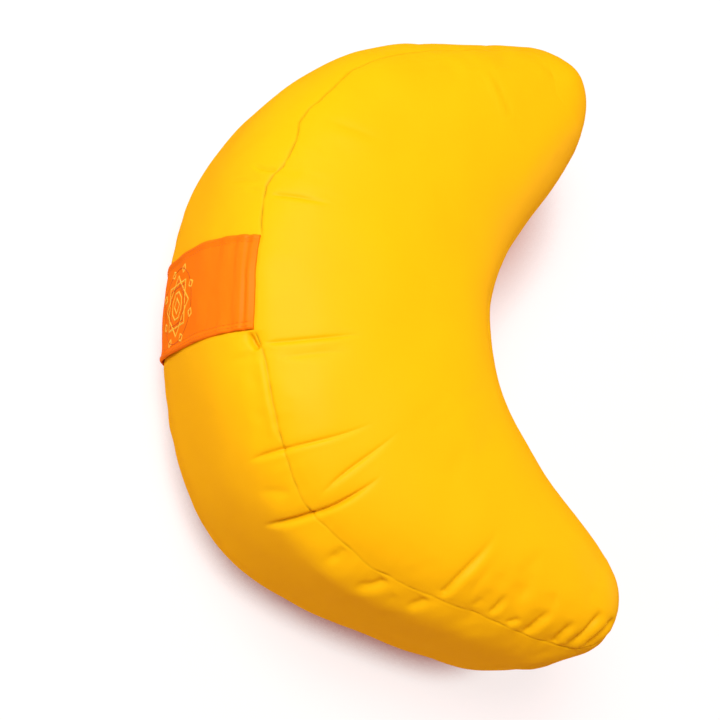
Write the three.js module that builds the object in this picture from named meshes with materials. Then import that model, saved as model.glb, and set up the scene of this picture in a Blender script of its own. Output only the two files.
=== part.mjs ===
// A crescent meditation cushion: one filled form, and the carrying band sewn over its back.
// Millimetres, +Z up. +X runs from horn to horn, and the band is on the -Y side.
import * as THREE from 'three';

// The widest outline, from the middle of the back round one horn to the middle of the bay.
// Radii in millimetres, sweeps and headings in degrees. The bay's own arc closes each half.
const BACK = { radius: 269, sweep: 18 };
const SHOULDER = { radius: 160, sweep: 49.5 };
const FLANK = { radius: 490, sweep: 16 };
const HORN = { radius: 48, headingAfter: 220 };
const INNER_FLANK = { radius: 830, sweep: 6.3 };
const HORN_SWING = 2;
const HALF_LENGTH = 215;

// The filled section across the crescent. Powers shape its round: 2 is an ellipse.
const CROWN_HEIGHT = 152;
const CROWN_LEAN = 0.09;
const CROWN_TAPER = 0.07;
const MIDDLE_RISE = 4.5;
const MIDDLE_REACH = 150;
const GIRTH_HEIGHT = 70;
const UPPER_POWER = 2.85;
const LOWER_POWER = 3.4;
const FOOT_SINK = 5;

// The seams that join the side to the top and bottom panels. Their stitches draw the cloth in.
const TOP_SEAM_ANGLE = 43.5;
const BOTTOM_SEAM_ANGLE = -42;
const SEAM_DRAW = 2.2;
const SEAM_SPREAD = 4.5;

// Tucks that run up from the top seam where the cloth is gathered. `along` is the way from the
// middle of the band towards the +X horn, `width` and `depth` are the hollow's, all in mm.
const TUCKS = [
  { along: 62, width: 8, depth: 1.6 },
  { along: 118, width: 9, depth: 1.8 },
  { along: 168, width: 10, depth: 3 },
  { along: 330, width: 9, depth: 2 },
  { along: 372, width: 8, depth: 2.2 },
  { along: -118, width: 9, depth: 1.8 },
];
const TUCK_ANGLE = 50;
const TUCK_REACH = 16;

// The carrying band, which lies on the side from seam to seam.
const BAND_WIDTH = 63;
const BAND_THICKNESS = 3;
const PIECE_GAP = 0.3;

// Mesh steps: stations round the outline, and rings from the foot to the crown.
const BAND_STEPS = 4;
const BEYOND_STEPS = 60;
const FOOT_RINGS = [0.35, 0.7];
const UNDER_ANGLES = [-57, -50];
const SIDE_ANGLES = [-30, -18, -6, 6, 18, 30];
const CROWN_ANGLES = [54, 62, 70, 78, 84];
const SMOOTHING_ROUNDS = 3;

const DEGREE = Math.PI / 180;

// Draws one arc on from the pen's place and heading. A negative sweep turns to the right.
function drawArc(path, pen, radius, sweep) {
  const side = Math.sign(sweep);
  const centreX = pen.x - side * radius * Math.sin(pen.heading);
  const centreY = pen.y + side * radius * Math.cos(pen.heading);
  const start = pen.heading - (side * Math.PI) / 2;
  path.absarc(centreX, centreY, radius, start, start + sweep, sweep < 0);
  pen.heading += sweep;
  pen.x = centreX + side * radius * Math.sin(pen.heading);
  pen.y = centreY - side * radius * Math.cos(pen.heading);
}

function halfOutline() {
  const path = new THREE.Path();
  const pen = { x: 0, y: 0, heading: 0 };
  for (const arc of [BACK, SHOULDER, FLANK]) {
    drawArc(path, pen, arc.radius, arc.sweep * DEGREE);
  }
  drawArc(path, pen, HORN.radius, HORN.headingAfter * DEGREE - pen.heading);
  drawArc(path, pen, INNER_FLANK.radius, -INNER_FLANK.sweep * DEGREE);
  const turnLeft = pen.heading - Math.PI;
  drawArc(path, pen, pen.x / Math.sin(turnLeft), -turnLeft);
  return path;
}

// Points of the whole outline, counterclockwise from the middle of the back. The first steps
// to each side of it span the band exactly.
function outlinePoints() {
  const path = halfOutline();
  const bandShare = BAND_WIDTH / 2 / path.getLength();
  const half = [];
  for (let step = 0; step < BAND_STEPS; step += 1) {
    half.push(path.getPoint((bandShare * step) / BAND_STEPS));
  }
  for (let step = 0; step <= BEYOND_STEPS; step += 1) {
    half.push(path.getPoint(bandShare + ((1 - bandShare) * step) / BEYOND_STEPS));
  }
  const mirrored = half.slice(1, -1).reverse().map((point) => new THREE.Vector2(-point.x, point.y));
  const pivot = new THREE.Vector2(0, half.at(-1).y / 2);
  return [...half, ...mirrored].map((point) =>
    point.clone().rotateAround(pivot, HORN_SWING * DEGREE * (point.x / HALF_LENGTH) ** 2),
  );
}

// How far inwards a point's section runs: to the middle line of the crescent.
function sectionReach(point, outward, outline) {
  let reach = Infinity;
  for (const other of outline) {
    const away = other.clone().sub(point);
    const inwards = -away.dot(outward);
    if (inwards > 0) {
      reach = Math.min(reach, away.lengthSq() / (2 * inwards));
    }
  }
  return reach;
}

function smoothedRound(values) {
  const count = values.length;
  return values.map((value, index) => {
    const before = values[(index + count - 1) % count];
    const after = values[(index + 1) % count];
    return (before + 2 * value + after) / 4;
  });
}

// One station per outline point: its outward direction, its place on the middle line, the
// section's reach and crown height there, and the way along the outline from the band.
function makeStations() {
  const outline = outlinePoints();
  const count = outline.length;
  const outwards = outline.map((point, index) => {
    const along = outline[(index + 1) % count].clone().sub(outline[(index + count - 1) % count]);
    return new THREE.Vector2(along.y, -along.x).normalize();
  });
  let reaches = outline.map((point, index) => sectionReach(point, outwards[index], outline));
  for (let round = 0; round < SMOOTHING_ROUNDS; round += 1) {
    reaches = smoothedRound(reaches);
  }
  const widest = Math.max(...reaches);
  const steps = outline.map((point, index) => point.distanceTo(outline[(index + 1) % count]));
  const around = steps.reduce((sum, step) => sum + step, 0);
  let along = 0;
  return outline.map((point, index) => {
    const core = point.clone().addScaledVector(outwards[index], -reaches[index]);
    const lean = 1 + (CROWN_LEAN * core.x) / HALF_LENGTH;
    const middle = MIDDLE_RISE * (1 - (core.x / MIDDLE_REACH) ** 2);
    const fullRise = CROWN_HEIGHT * lean + middle - GIRTH_HEIGHT;
    const station = {
      outward: outwards[index],
      core,
      reach: reaches[index],
      rise: fullRise * (reaches[index] / widest) ** CROWN_TAPER,
      along: along > around / 2 ? along - around : along,
    };
    along += steps[index];
    return station;
  });
}

// How deep the tucks are at a place on the section.
function tuckDepth(station, angle) {
  const fade = Math.exp(-(((angle - TUCK_ANGLE) / TUCK_REACH) ** 2));
  return TUCKS.reduce(
    (sum, tuck) => sum + tuck.depth * fade * Math.exp(-(((station.along - tuck.along) / tuck.width) ** 2)),
    0,
  );
}

// A point of a station's section. The angle runs from the foot, -90, to the crown, 90.
// `draw` pulls the point in towards the middle of the section.
function sectionPoint(station, angle, draw) {
  const power = angle < 0 ? LOWER_POWER : UPPER_POWER;
  const lift = Math.abs(Math.sin(angle * DEGREE)) ** (2 / power);
  const across = station.reach * Math.cos(angle * DEGREE) ** (2 / power);
  const height =
    angle < 0
      ? Math.max(0, GIRTH_HEIGHT - (GIRTH_HEIGHT + FOOT_SINK) * lift)
      : GIRTH_HEIGHT + station.rise * lift;
  const inward = new THREE.Vector2(-across, GIRTH_HEIGHT - height).setLength(draw);
  const place = station.core.clone().addScaledVector(station.outward, across + inward.x);
  return new THREE.Vector3(place.x, place.y, height + inward.y);
}

function angledRing(stations, angle, draw = 0) {
  return stations.map((station) => sectionPoint(station, angle, draw + tuckDepth(station, angle)));
}

function seamRings(stations, angle) {
  return [
    angledRing(stations, angle - SEAM_SPREAD),
    angledRing(stations, angle, SEAM_DRAW),
    angledRing(stations, angle + SEAM_SPREAD),
  ];
}

// The flat foot: its rim is where the lower section meets the floor.
function footRings(stations) {
  const rim = Math.asin((GIRTH_HEIGHT / (GIRTH_HEIGHT + FOOT_SINK)) ** (LOWER_POWER / 2));
  const rimAcross = Math.cos(rim) ** (2 / LOWER_POWER);
  return [...FOOT_RINGS, 1].map((share) =>
    stations.map((station) => {
      const across = station.reach * rimAcross * share;
      const place = station.core.clone().addScaledVector(station.outward, across);
      return new THREE.Vector3(place.x, place.y, 0);
    }),
  );
}

// The side's rings, from the bottom seam's stitches to the top seam's.
function sideRings(stations) {
  const [, bottomStitches, aboveBottom] = seamRings(stations, BOTTOM_SEAM_ANGLE);
  const [belowTop, topStitches] = seamRings(stations, TOP_SEAM_ANGLE);
  const between = SIDE_ANGLES.map((angle) => angledRing(stations, angle));
  return [bottomStitches, aboveBottom, ...between, belowTop, topStitches];
}

function cushionRings(stations) {
  const [belowBottom] = seamRings(stations, BOTTOM_SEAM_ANGLE);
  const [, , aboveTop] = seamRings(stations, TOP_SEAM_ANGLE);
  return [
    ...footRings(stations),
    ...UNDER_ANGLES.map((angle) => angledRing(stations, angle)),
    belowBottom,
    ...sideRings(stations),
    aboveTop,
    ...CROWN_ANGLES.map((angle) => angledRing(stations, angle)),
  ];
}

function indexedGeometry(points, index) {
  const geometry = new THREE.BufferGeometry().setFromPoints(points);
  geometry.setIndex(index);
  geometry.computeVertexNormals();
  return geometry;
}

// A closed body from rings of equal length, lowest first, with a flat cap at each end.
function ringedGeometry(rings) {
  const count = rings[0].length;
  const index = [];
  for (let ring = 0; ring < rings.length - 1; ring += 1) {
    for (let station = 0; station < count; station += 1) {
      const next = (station + 1) % count;
      const low = ring * count;
      const high = low + count;
      index.push(low + station, low + next, high + next);
      index.push(low + station, high + next, high + station);
    }
  }
  const flat = (ring) => ring.map((point) => new THREE.Vector2(point.x, point.y));
  for (const [a, b, c] of THREE.ShapeUtils.triangulateShape(flat(rings[0]), [])) {
    index.push(a, c, b);
  }
  const top = (rings.length - 1) * count;
  for (const [a, b, c] of THREE.ShapeUtils.triangulateShape(flat(rings.at(-1)), [])) {
    index.push(top + a, top + b, top + c);
  }
  return indexedGeometry(rings.flat(), index);
}

// A closed sheet between two grids of equal size, `outer` being the side that shows.
function sheetGeometry(outer, inner) {
  const rows = outer.length;
  const columns = outer[0].length;
  const innerStart = rows * columns;
  const at = (row, column) => row * columns + column;
  const index = [];
  for (let row = 0; row < rows - 1; row += 1) {
    for (let column = 0; column < columns - 1; column += 1) {
      const corners = [at(row, column), at(row, column + 1), at(row + 1, column + 1), at(row + 1, column)];
      const [a, b, c, d] = corners;
      index.push(a, b, c, a, c, d);
      const [e, f, g, h] = corners.map((corner) => corner + innerStart);
      index.push(e, g, f, e, h, g);
    }
  }
  const rim = [];
  for (let column = 0; column < columns - 1; column += 1) {
    rim.push(at(0, column));
  }
  for (let row = 0; row < rows - 1; row += 1) {
    rim.push(at(row, columns - 1));
  }
  for (let column = columns - 1; column > 0; column -= 1) {
    rim.push(at(rows - 1, column));
  }
  for (let row = rows - 1; row > 0; row -= 1) {
    rim.push(at(row, 0));
  }
  rim.forEach((from, place) => {
    const to = rim[(place + 1) % rim.length];
    index.push(to, from, from + innerStart, to, from + innerStart, to + innerStart);
  });
  return indexedGeometry([...outer.flat(), ...inner.flat()], index);
}

// The side's grid over the band, lifted off the cushion along the grid's own normals.
function bandGrid(stations, lift) {
  const rings = sideRings(stations);
  const last = rings.length - 1;
  const count = stations.length;
  return rings.map((ring, row) => {
    const line = [];
    for (let step = -BAND_STEPS; step <= BAND_STEPS; step += 1) {
      const here = (step + count) % count;
      const across = ring[(here + 1) % count].clone().sub(ring[(here + count - 1) % count]);
      const up = rings[Math.min(row + 1, last)][here].clone().sub(rings[Math.max(row - 1, 0)][here]);
      line.push(ring[here].clone().addScaledVector(across.cross(up).normalize(), lift));
    }
    return line;
  });
}

function makeCushion(stations) {
  const cloth = new THREE.MeshStandardMaterial({ color: '#fdc30a', roughness: 0.85, metalness: 0 });
  const cushion = new THREE.Mesh(ringedGeometry(cushionRings(stations)), cloth);
  cushion.name = 'cushion';
  return cushion;
}

function makeHandleBand(stations) {
  const cloth = new THREE.MeshStandardMaterial({ color: '#fb8306', roughness: 0.8, metalness: 0 });
  const outer = bandGrid(stations, PIECE_GAP + BAND_THICKNESS);
  const band = new THREE.Mesh(sheetGeometry(outer, bandGrid(stations, PIECE_GAP)), cloth);
  band.name = 'handle_band';
  return band;
}

// Moves the pieces so that the middle of their box stands on the origin.
function standOnOrigin(pieces) {
  const box = new THREE.Box3().setFromObject(pieces);
  const centre = box.getCenter(new THREE.Vector3());
  pieces.position.set(-centre.x, -centre.y, -box.min.z);
}

const stations = makeStations();
const pieces = new THREE.Group();
pieces.add(makeCushion(stations), makeHandleBand(stations));
standOnOrigin(pieces);

const part = new THREE.Group();
part.add(pieces);

export default part;
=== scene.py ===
"""The crescent meditation cushion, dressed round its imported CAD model.

Shapes are worked out in millimetres and degrees, in the CAD model's frame, and turned into
metres where a mesh is made. The cushion is one closed surface of stations round its outline
and rings from foot to crown. Places on it are given as `along`, the way round the outline
from the middle of the carrying band towards the +X horn, and `inset`, the way from the top
seam towards the crown, which is negative down the side.
"""
import math
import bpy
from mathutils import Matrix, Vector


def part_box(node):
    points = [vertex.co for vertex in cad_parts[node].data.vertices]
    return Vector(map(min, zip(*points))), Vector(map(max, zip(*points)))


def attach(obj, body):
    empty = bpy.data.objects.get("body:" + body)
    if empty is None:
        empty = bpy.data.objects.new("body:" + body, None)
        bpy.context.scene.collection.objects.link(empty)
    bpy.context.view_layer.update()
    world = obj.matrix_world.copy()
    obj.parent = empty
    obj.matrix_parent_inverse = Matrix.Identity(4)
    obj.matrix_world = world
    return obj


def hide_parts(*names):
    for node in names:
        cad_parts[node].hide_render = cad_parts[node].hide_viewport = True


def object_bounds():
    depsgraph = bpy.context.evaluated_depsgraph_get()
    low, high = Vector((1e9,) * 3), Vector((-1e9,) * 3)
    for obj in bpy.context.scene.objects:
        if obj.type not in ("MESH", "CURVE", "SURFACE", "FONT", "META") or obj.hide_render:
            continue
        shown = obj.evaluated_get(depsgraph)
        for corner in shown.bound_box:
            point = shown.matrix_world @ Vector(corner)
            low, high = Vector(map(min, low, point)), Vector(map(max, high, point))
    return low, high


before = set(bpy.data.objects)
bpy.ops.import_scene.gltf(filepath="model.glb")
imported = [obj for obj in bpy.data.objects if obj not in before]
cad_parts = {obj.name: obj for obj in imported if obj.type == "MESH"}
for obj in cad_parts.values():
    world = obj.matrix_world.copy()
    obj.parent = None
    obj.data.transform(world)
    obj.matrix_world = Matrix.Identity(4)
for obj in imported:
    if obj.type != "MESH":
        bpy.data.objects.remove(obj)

from types import SimpleNamespace

import bpy
import numpy as np
from mathutils import Matrix, Vector
from mathutils.kdtree import KDTree

CAD_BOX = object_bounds()
MM = 0.001
BODY = "root"
TINY = 1e-9

# ---- outline and section

# The widest outline's arcs as (radius, sweep), from the middle of the back round one horn to
# the middle of the bay. A negative sweep turns to the right. A last arc closes the half.
OUTLINE_ARCS = [(269, 18), (160, 49.5), (490, 16), (48, 136.5), (830, -6.3)]
OUTER_ARCS = 3
HORN_SWING = 2
HALF_LENGTH = 215
OUTLINE_STEP = 0.5
REACH_SMOOTHING = 12
LEAST_INWARDS = 1e-6

CROWN_HEIGHT = 152
CROWN_LEAN = 0.09
CROWN_TAPER = 0.07
MIDDLE_RISE = 4.5
MIDDLE_REACH = 150
GIRTH_HEIGHT = 70
UPPER_POWER = 2.85
LOWER_POWER = 3.4
FOOT_SINK = 5
TOP_SEAM_ANGLE = 43.5
BOTTOM_SEAM_ANGLE = -42

# How far apart the stations are along the outline, finer where the cloth is creased.
STATION_STEPS = [
    (-360, 3.4), (-120, 2.6), (-92, 1.6), (-86, 0.9), (-76, 0.9), (-70, 1.3), (-66, 0.9), (-58, 0.9),
    (-52, 2.0), (-40, 2.4), (22, 2.4), (30, 0.8), (50, 0.8), (60, 1.9), (98, 1.6), (108, 0.7),
    (122, 0.7), (132, 1.6), (144, 0.8), (150, 0.6), (172, 0.7), (186, 2.0), (250, 1.7), (360, 1.7),
]
HORN_STEP = 1.9
PAIRING_STEPS = 800

# Shares of the way across each panel at which the rings lie, finer next to the seams.
FOOT_SHARES = [0.45, 0.8, 0.95, 1]
UNDER_RINGS = 9
SIDE_RINGS = 46
TOP_RINGS = 42


def unit(vectors):
    """Vectors of length 1 along the last axis."""
    return vectors / np.maximum(np.linalg.norm(vectors, axis=-1, keepdims=True), TINY)


def passed(steps):
    """How far each place is from the first one, from the steps between them."""
    return np.concatenate([[0], np.cumsum(steps)])


def bell(values):
    return np.exp(-(values**2))


def smooth(values):
    share = np.clip(values, 0, 1)
    return share * share * (3 - 2 * share)


def table_at(table, places):
    """Values of a table of (place, value) rows, between its rows."""
    return np.interp(places, *np.array(table).T)


def between_points(grid, row, column):
    """Values of a grid between its points, at fractional row and column numbers."""
    top = np.minimum(row.astype(int), len(grid) - 2)
    left = np.minimum(column.astype(int), grid.shape[1] - 2)
    under = (row - top)[..., None]
    on = (column - left)[..., None]
    upper = grid[top, left] * (1 - on) + grid[top, left + 1] * on
    lower = grid[top + 1, left] * (1 - on) + grid[top + 1, left + 1] * on
    return upper * (1 - under) + lower * under


def outline_arc(pen, radius, sweep):
    """Points of one arc from the pen's place and heading, without its first point."""
    side = math.copysign(1, sweep)
    turn = math.radians(sweep)
    steps = max(2, math.ceil(abs(radius * turn) / OUTLINE_STEP))
    headings = pen.heading + turn * np.arange(1, steps + 1) / steps
    centre_x = pen.x - side * radius * math.sin(pen.heading)
    centre_y = pen.y + side * radius * math.cos(pen.heading)
    xs = centre_x + side * radius * np.sin(headings)
    ys = centre_y - side * radius * np.cos(headings)
    pen.x, pen.y, pen.heading = xs[-1], ys[-1], headings[-1]
    return np.stack([xs, ys], 1)


def turned(places, cos, sin):
    """Flat places turned to the left by angles of these cosines and sines."""
    x, y = places.T
    return np.stack([x * cos - y * sin, x * sin + y * cos], 1)


def half_outline():
    """One half's points, and how many of them lie before and up to the end of the horn's arc."""
    pen = SimpleNamespace(x=0.0, y=0.0, heading=0.0)
    stretches = [np.zeros((1, 2))]
    for radius, sweep in OUTLINE_ARCS:
        stretches.append(outline_arc(pen, radius, sweep))
    turn_left = pen.heading - math.pi
    stretches.append(outline_arc(pen, pen.x / math.sin(turn_left), -math.degrees(turn_left)))
    outer_end = sum(len(s) for s in stretches[: OUTER_ARCS + 1]) - 1
    horn_end = outer_end + len(stretches[OUTER_ARCS + 1])
    return np.concatenate(stretches), outer_end, horn_end


def periodic_blur(values, sigma, step):
    """A Gaussian blur of values that run round a closed line, `step` apart."""
    count = len(values)
    frequency = np.fft.rfftfreq(count, step)
    damping = np.exp(-2 * (math.pi * sigma * frequency) ** 2)
    return np.fft.irfft(np.fft.rfft(values) * damping, count)


def make_outline():
    """The whole closed outline, with `along` from -half to +half its length."""
    half, outer_end, horn_end = half_outline()
    last = len(half) - 1
    mirrored = half[::-1] * [-1, 1]
    points = np.concatenate([mirrored, half[1:-1]])
    pivot = np.array([0, half[-1, 1] / 2])
    swing = np.radians(HORN_SWING) * (points[:, 0] / HALF_LENGTH) ** 2
    points = pivot + turned(points - pivot, np.cos(swing), np.sin(swing))
    low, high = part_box("cushion")
    box_middle = np.array([low.x + high.x, low.y + high.y]) / 2 / MM
    points += box_middle - (points.min(0) + points.max(0)) / 2
    following = np.roll(points, -1, 0)
    lengths = np.linalg.norm(following - points, axis=1)
    distance = passed(lengths)[:-1]
    tangent = following - np.roll(points, 1, 0)
    outward = unit(np.stack([tangent[:, 1], -tangent[:, 0]], 1))
    line = SimpleNamespace(points=points, outward=outward, around=lengths.sum())
    line.along = distance - distance[last]
    line.reach = periodic_blur(medial_reach(points, outward), REACH_SMOOTHING, OUTLINE_STEP)
    line.core = points - outward * line.reach[:, None]
    ends = line.along
    line.plus = SimpleNamespace(outer=ends[last + outer_end], inner=ends[last + horn_end])
    line.minus = SimpleNamespace(outer=ends[last - outer_end], inner=ends[last - horn_end])
    return line


def medial_reach(points, outward):
    """How far in from each point the middle line of the crescent lies."""
    reach = np.empty(len(points))
    for index, point in enumerate(points):
        away = points - point
        inwards = -(away @ outward[index])
        inside = inwards > LEAST_INWARDS
        reach[index] = np.min((away[inside] ** 2).sum(1) / (2 * inwards[inside]))
    return reach


def line_at(line, along, values):
    """Values of the dense outline at a way along it, which may run past its ends."""
    wrapped = (along + line.around / 2) % line.around - line.around / 2
    places = np.append(line.along, line.along[0] + line.around)
    columns = np.atleast_2d(values.T)
    found = [np.interp(wrapped, places, np.append(column, column[0])) for column in columns]
    return found[0] if values.ndim == 1 else np.stack(found, -1)


def stepped(start, end, steps):
    """Places from start to end whose spacing follows the table of (along, step)."""
    places = [start]
    following = start + table_at(steps, start)
    while following < end:
        places.append(following)
        following = places[-1] + table_at(steps, places[-1])
    places.append(end)
    return np.array(places)


def core_share(line, places):
    """The share of the middle line that has been passed at each place on the outline."""
    cores = line_at(line, places, line.core)
    way = passed(np.linalg.norm(np.diff(cores, axis=0), axis=1))
    return way / way[-1]


def paired_inner(line, outer, side):
    """The places on the bay's side that share a middle point with each outer place."""
    end = math.copysign(line.around / 2, side.inner)
    dense = np.linspace(end, side.inner, PAIRING_STEPS)
    return np.interp(core_share(line, outer), core_share(line, dense), dense)


def half_stations(line, side, sign):
    """One half's stations, and how many core points each one's own lies from the first."""
    steps = [(sign * along, step) for along, step in STATION_STEPS[::sign]]
    outer = sign * stepped(0, sign * side.outer, steps)
    there, back = (outer, paired_inner(line, outer, side))[::sign]
    start, end = (side.outer, side.inner)[::sign]
    horn = np.linspace(start, end, round((end - start) / HORN_STEP))
    last = len(there) - 1
    core_steps = [np.arange(last), np.full(len(horn), last), np.arange(last - 1, 0, -1)]
    return np.concatenate([there[:-1], horn, back[-2:0:-1]]), np.concatenate(core_steps)


def make_stations(line):
    """Stations in the order of `along`. Paired stations meet in one core point at the crown."""
    minus_along, minus_steps = half_stations(line, line.minus, -1)
    plus_along, plus_steps = half_stations(line, line.plus, 1)
    along = np.concatenate([minus_along, plus_along])
    core_index = minus_steps.max() + np.concatenate([-minus_steps, plus_steps])
    places = line_at(line, along, line.points)
    cores = line_at(line, along, line.core)
    counts = np.bincount(core_index)
    core = np.stack([np.bincount(core_index, cores[:, axis]) / counts for axis in (0, 1)], 1)
    spoke = places - core[core_index]
    reach = np.linalg.norm(spoke, axis=1)
    core_reach = np.bincount(core_index, reach) / counts
    lean = 1 + CROWN_LEAN * core[:, 0] / HALF_LENGTH
    middle = MIDDLE_RISE * (1 - (core[:, 0] / MIDDLE_REACH) ** 2)
    rise = CROWN_HEIGHT * lean + middle - GIRTH_HEIGHT
    rise *= (core_reach / line.reach.max()) ** CROWN_TAPER
    return SimpleNamespace(
        along=along, core_index=core_index, core=core, core_rise=rise, reach=reach,
        rise=rise[core_index], spoke=spoke / reach[:, None],
    )


def section(reach, rise, angles):
    """The way across and the height at each angle of a section."""
    radians = np.radians(angles)
    power = np.where(angles < 0, LOWER_POWER, UPPER_POWER)
    lift = np.abs(np.sin(radians)) ** (2 / power)
    across = reach * np.cos(radians) ** (2 / power)
    lower = np.maximum(0, GIRTH_HEIGHT - (GIRTH_HEIGHT + FOOT_SINK) * lift)
    return across, np.where(angles < 0, lower, GIRTH_HEIGHT + rise * lift)


def graded(count, strength=0.75):
    """Shares from 0 to 1 that lie closer together towards both ends."""
    share = np.linspace(0, 1, count)
    return share - strength * np.sin(2 * math.pi * share) / (2 * math.pi)


def graded_from_start(count, even=0.3, power=1.6):
    """Shares from 0 to 1 that lie closer together at the start only."""
    share = np.linspace(0, 1, count)
    return even * share + (1 - even) * share**power


# Where the top seam strays from its even line: (along, how far towards the crown), in mm.
SEAM_STRAY = [
    (-640, 0), (-620, -3), (-600, -8), (-560, -12), (-510, -11), (-470, -5), (-440, 0), (-310, 0),
    (-287, 1), (-270, -3), (-238, -4.5), (-190, -3.8), (-176, -1), (-163, 1), (-149, 1.6), (-139, 0.2),
    (-124, 1), (-116, 3.8), (-108, 6.2), (-94, 6.4), (-85, 5.1), (-79, 2.2), (-68, -1.4), (-57, -0.6),
    (-48, 0.6), (-40, 1.9), (-33, 3), (12, 3), (29, 1.2), (34, 1.2), (46, 5.4), (60, 6), (75, 5.8),
    (92, 5.1), (106, 3.9), (114, 2.8), (127, 1.5), (140, -0.7), (150, -2.3), (160, -2.4), (172, -0.8),
    (184, 0), (197, 0.3), (208, -1.5), (216, -1.5), (229, 0.5), (241, 0.6), (257, 2.6), (266, 3.7),
    (294, 4.9), (309, 5), (326, 3.4), (343, 2.8), (376, 3), (410, 1.5), (440, 0), (640, 0),
]
SEAM_WOBBLE = 0.2
WOBBLE_WAVES = [17, 29, 47]
WOBBLE_SEED = 3
LOWER_ANGLES = 160
UPPER_ANGLES = 220


def make_shape():
    """The cushion's even form as a grid of points, with each point's inset from both seams."""
    outline = make_outline()
    stations = make_stations(outline)
    rim_angle = -math.degrees(
        math.asin((GIRTH_HEIGHT / (GIRTH_HEIGHT + FOOT_SINK)) ** (LOWER_POWER / 2))
    )
    lower = np.linspace(rim_angle, 0, LOWER_ANGLES)[:-1]
    angles = np.concatenate([lower, np.linspace(0, 90, UPPER_ANGLES)])
    wobble = line_noise(stations.along, WOBBLE_WAVES, WOBBLE_SEED) * SEAM_WOBBLE
    stray = table_at(SEAM_STRAY, stations.along) + wobble
    shares = [graded_from_start(UNDER_RINGS + 1)[:-1], graded(SIDE_RINGS + 1)[:-1]]
    shares.append(graded_from_start(TOP_RINGS + 1)[:-1])
    columns, lengths, seams = [], [], []
    for index in range(len(stations.along)):
        across, height = section(stations.reach[index], stations.rise[index], angles)
        length = passed(np.hypot(np.diff(across), np.diff(height)))
        bottom_seam = np.interp(BOTTOM_SEAM_ANGLE, angles, length)
        top_seam = np.interp(TOP_SEAM_ANGLE, angles, length) + stray[index]
        marks = [0, bottom_seam, top_seam, length[-1]]
        rings = np.concatenate(
            [low + share * (high - low) for share, low, high in zip(shares, marks, marks[1:])]
        )
        spoke = stations.spoke[index]
        core = stations.core[stations.core_index[index]]
        foot = across[0] * np.array(FOOT_SHARES[:-1])
        ways = np.concatenate([foot, np.interp(rings, length, across)])
        heights = np.concatenate([np.zeros(len(foot)), np.interp(rings, length, height)])
        columns.append(np.column_stack([core + ways[:, None] * spoke, heights]))
        lengths.append(np.concatenate([foot - across[0], rings]))
        seams.append((bottom_seam, top_seam))
    shape = SimpleNamespace(stations=stations, points=np.stack(columns, 1), around=outline.around)
    length = np.stack(lengths, 1)
    seams = np.array(seams)
    shape.inset = length - seams[:, 1]
    shape.above_bottom = length - seams[:, 0]
    shape.along = np.broadcast_to(stations.along, shape.inset.shape)
    shape.crown = np.column_stack([stations.core, GIRTH_HEIGHT + stations.core_rise])
    shape.foot = np.column_stack([stations.core, np.zeros(len(stations.core))])
    shape.side_start = len(FOOT_SHARES) - 1 + UNDER_RINGS
    shape.top_start = shape.side_start + SIDE_RINGS
    return shape


def line_noise(along, wavelengths, seed):
    """A smooth uneven line, about -1 to 1, as a sum of waves of these lengths."""
    random = np.random.default_rng(seed)
    phases = random.uniform(0, 2 * math.pi, len(wavelengths))
    waves = [np.sin(2 * math.pi * along / w + p) for w, p in zip(wavelengths, phases)]
    return sum(waves) / math.sqrt(len(wavelengths))


def space_noise(points, size, seed, waves=9, spread=(0.75, 1.4)):
    """Smooth uneven numbers, about -1 to 1, that vary over `size` mm in every direction."""
    random = np.random.default_rng(seed)
    total = np.zeros(points.shape[:-1])
    for _ in range(waves):
        direction = random.normal(size=3)
        direction *= 2 * math.pi / (size * random.uniform(*spread) * np.linalg.norm(direction))
        total += np.sin(points @ direction + random.uniform(0, 2 * math.pi))
    return total / math.sqrt(waves)


def with_caps(shape):
    """The grid with the foot's and the crown's middle points as a first and a last ring."""
    index = shape.stations.core_index
    return np.concatenate([shape.foot[index][None], shape.points, shape.crown[index][None]])


def grid_normals(shape):
    """Outward unit normals of the grid's points."""
    grid = with_caps(shape)
    around = np.roll(grid, -1, 1) - np.roll(grid, 1, 1)
    return unit(np.cross(around, np.gradient(grid, axis=0))[1:-1])


# ---- meshes


def placed(name, data):
    """A new object in the scene."""
    made = bpy.data.objects.new(name, data)
    bpy.context.scene.collection.objects.link(made)
    return made


def mesh_object(name, points, faces, uvs=None, tuck=None):
    """A smooth-shaded object from points in mm.

    `uvs` are each face corner's pattern place, and the last argument is how much painted shade each
    point gets in the seam and the folds.
    """
    mesh = bpy.data.meshes.new(name)
    mesh.from_pydata((np.asarray(points) * MM).tolist(), [], faces)
    if uvs is not None:
        layer = mesh.uv_layers.new(name="pattern")
        layer.data.foreach_set("uv", (np.asarray(uvs) * MM).ravel())
    # A point attribute of painted shade in the seam and folds, which the cloth's material darkens by.
    if tuck is not None:
        layer = mesh.attributes.new(name="tuck", type="FLOAT", domain="POINT")
        layer.data.foreach_set("value", np.asarray(tuck, np.float32))
    mesh.validate()
    mesh.polygons.foreach_set("use_smooth", [True] * len(mesh.polygons))
    mesh.update()
    return placed(name, mesh)


def ring_faces(rings, count):
    """Quads between closed rings of `count` points."""
    ring, station = np.meshgrid(np.arange(rings - 1), np.arange(count), indexing="ij")
    following = (station + 1) % count
    corners = [(ring, station), (ring, following), (ring + 1, following), (ring + 1, station)]
    return np.stack([r * count + s for r, s in corners], -1).reshape(-1, 4)


def cap_faces(core_index, ring_start, core_start, upward):
    """Faces from a ring in to the middle line, as quads, and as triangles round a horn's pole."""
    count = len(core_index)
    faces = []
    for station in range(count):
        following = (station + 1) % count
        here = core_start + core_index[station]
        there = core_start + core_index[following]
        face = [ring_start + station, ring_start + following, there, here]
        if here == there:
            face.pop()
        faces.append(face if upward else face[::-1])
    return faces


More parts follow.
